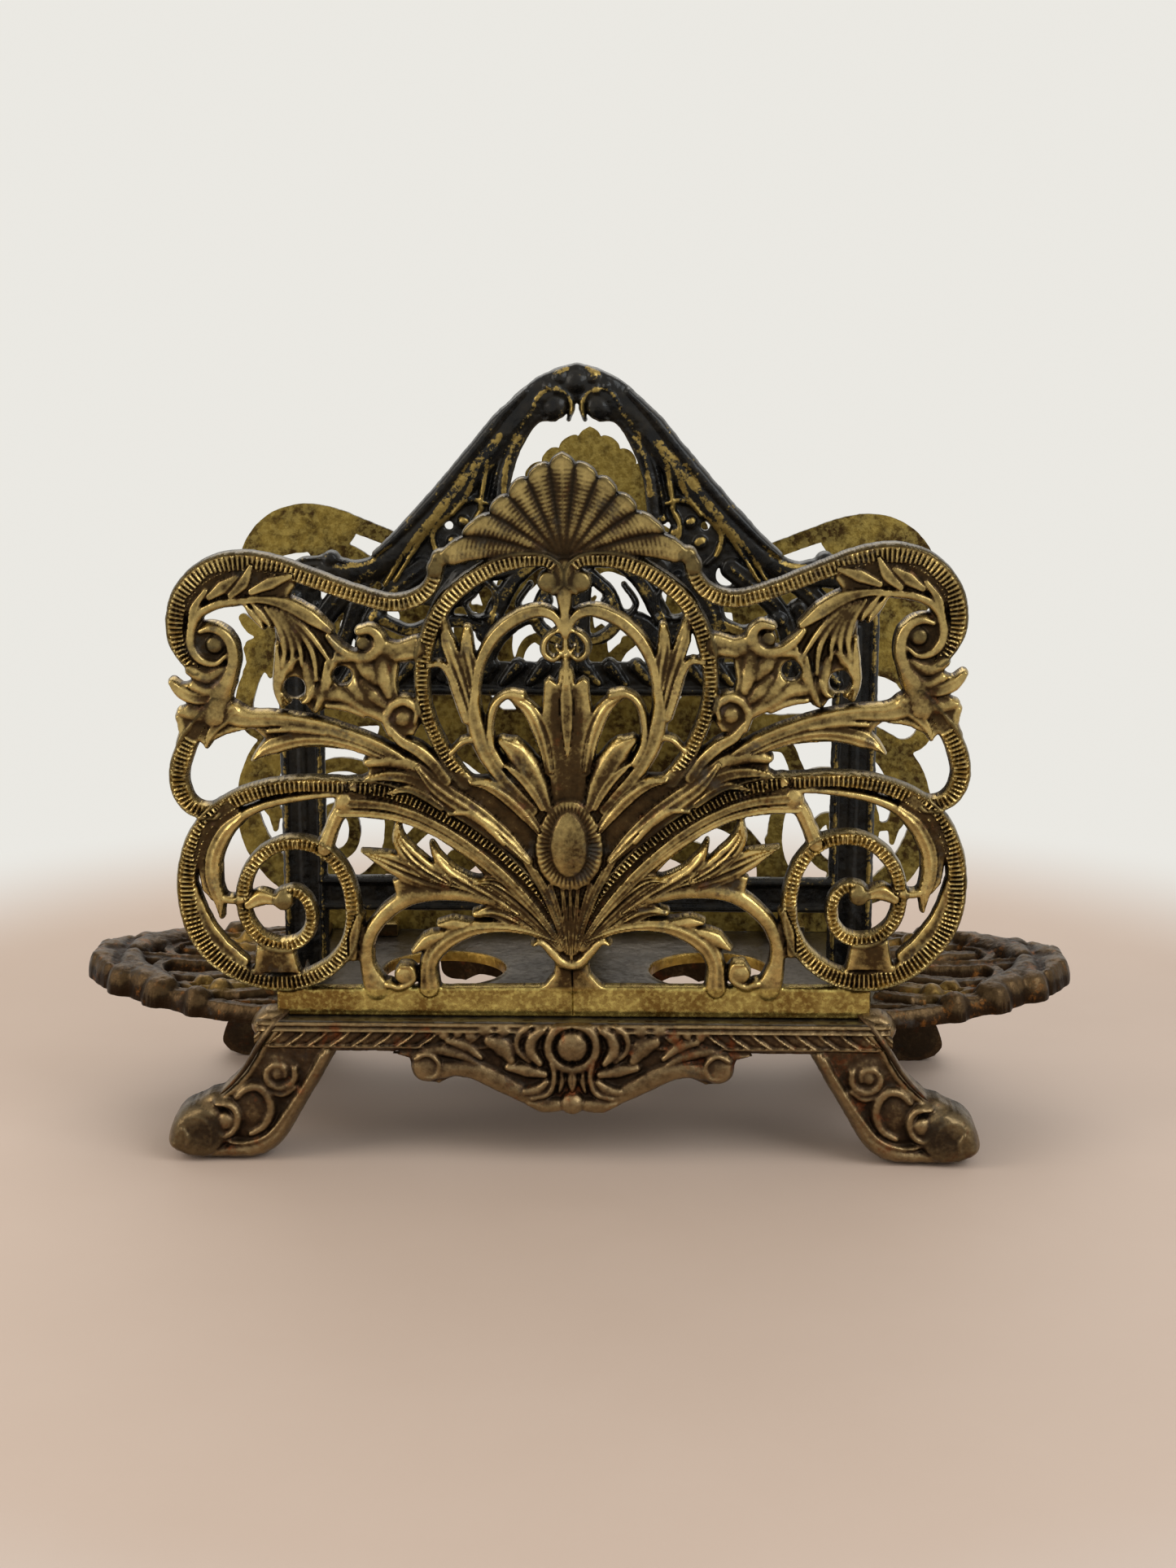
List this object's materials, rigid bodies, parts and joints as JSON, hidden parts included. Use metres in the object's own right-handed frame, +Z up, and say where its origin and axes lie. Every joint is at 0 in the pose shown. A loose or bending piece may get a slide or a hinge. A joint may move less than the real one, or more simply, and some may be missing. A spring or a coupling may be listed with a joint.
{
  "type": "tabletop book rack",
  "caption": "Cast-brass tabletop book rack: footed tray with two round wells, openwork front and rear panels, and a central frame that rises into a carrying handle.",
  "frame": {"origin": "on the table, under the middle of the rack", "axes": "+X to the right along the panels, +Y from the front panel to the rear one, +Z up"},
  "size_m": [0.3052, 0.1118, 0.2285],
  "materials": {
    "base_bronze": "dark brown patina over cast brass, rubbed lighter on the high points",
    "panel_brass": "aged cast brass, dark in the hollows and bright on the crests",
    "frame_lacquer": "black lacquer worn through to brass",
    "screw_steel": "dull steel"
  },
  "bodies": {
    "root": {"base_casting": "base_bronze", "front_panel": "panel_brass", "rear_panel": "panel_brass", "handle_frame": "frame_lacquer", "screw_front_left": "screw_steel", "screw_front_right": "screw_steel", "screw_rear_left": "screw_steel", "screw_rear_right": "screw_steel", "screw_post_left": "screw_steel", "screw_post_right": "screw_steel"}
  },
  "joints": []
}
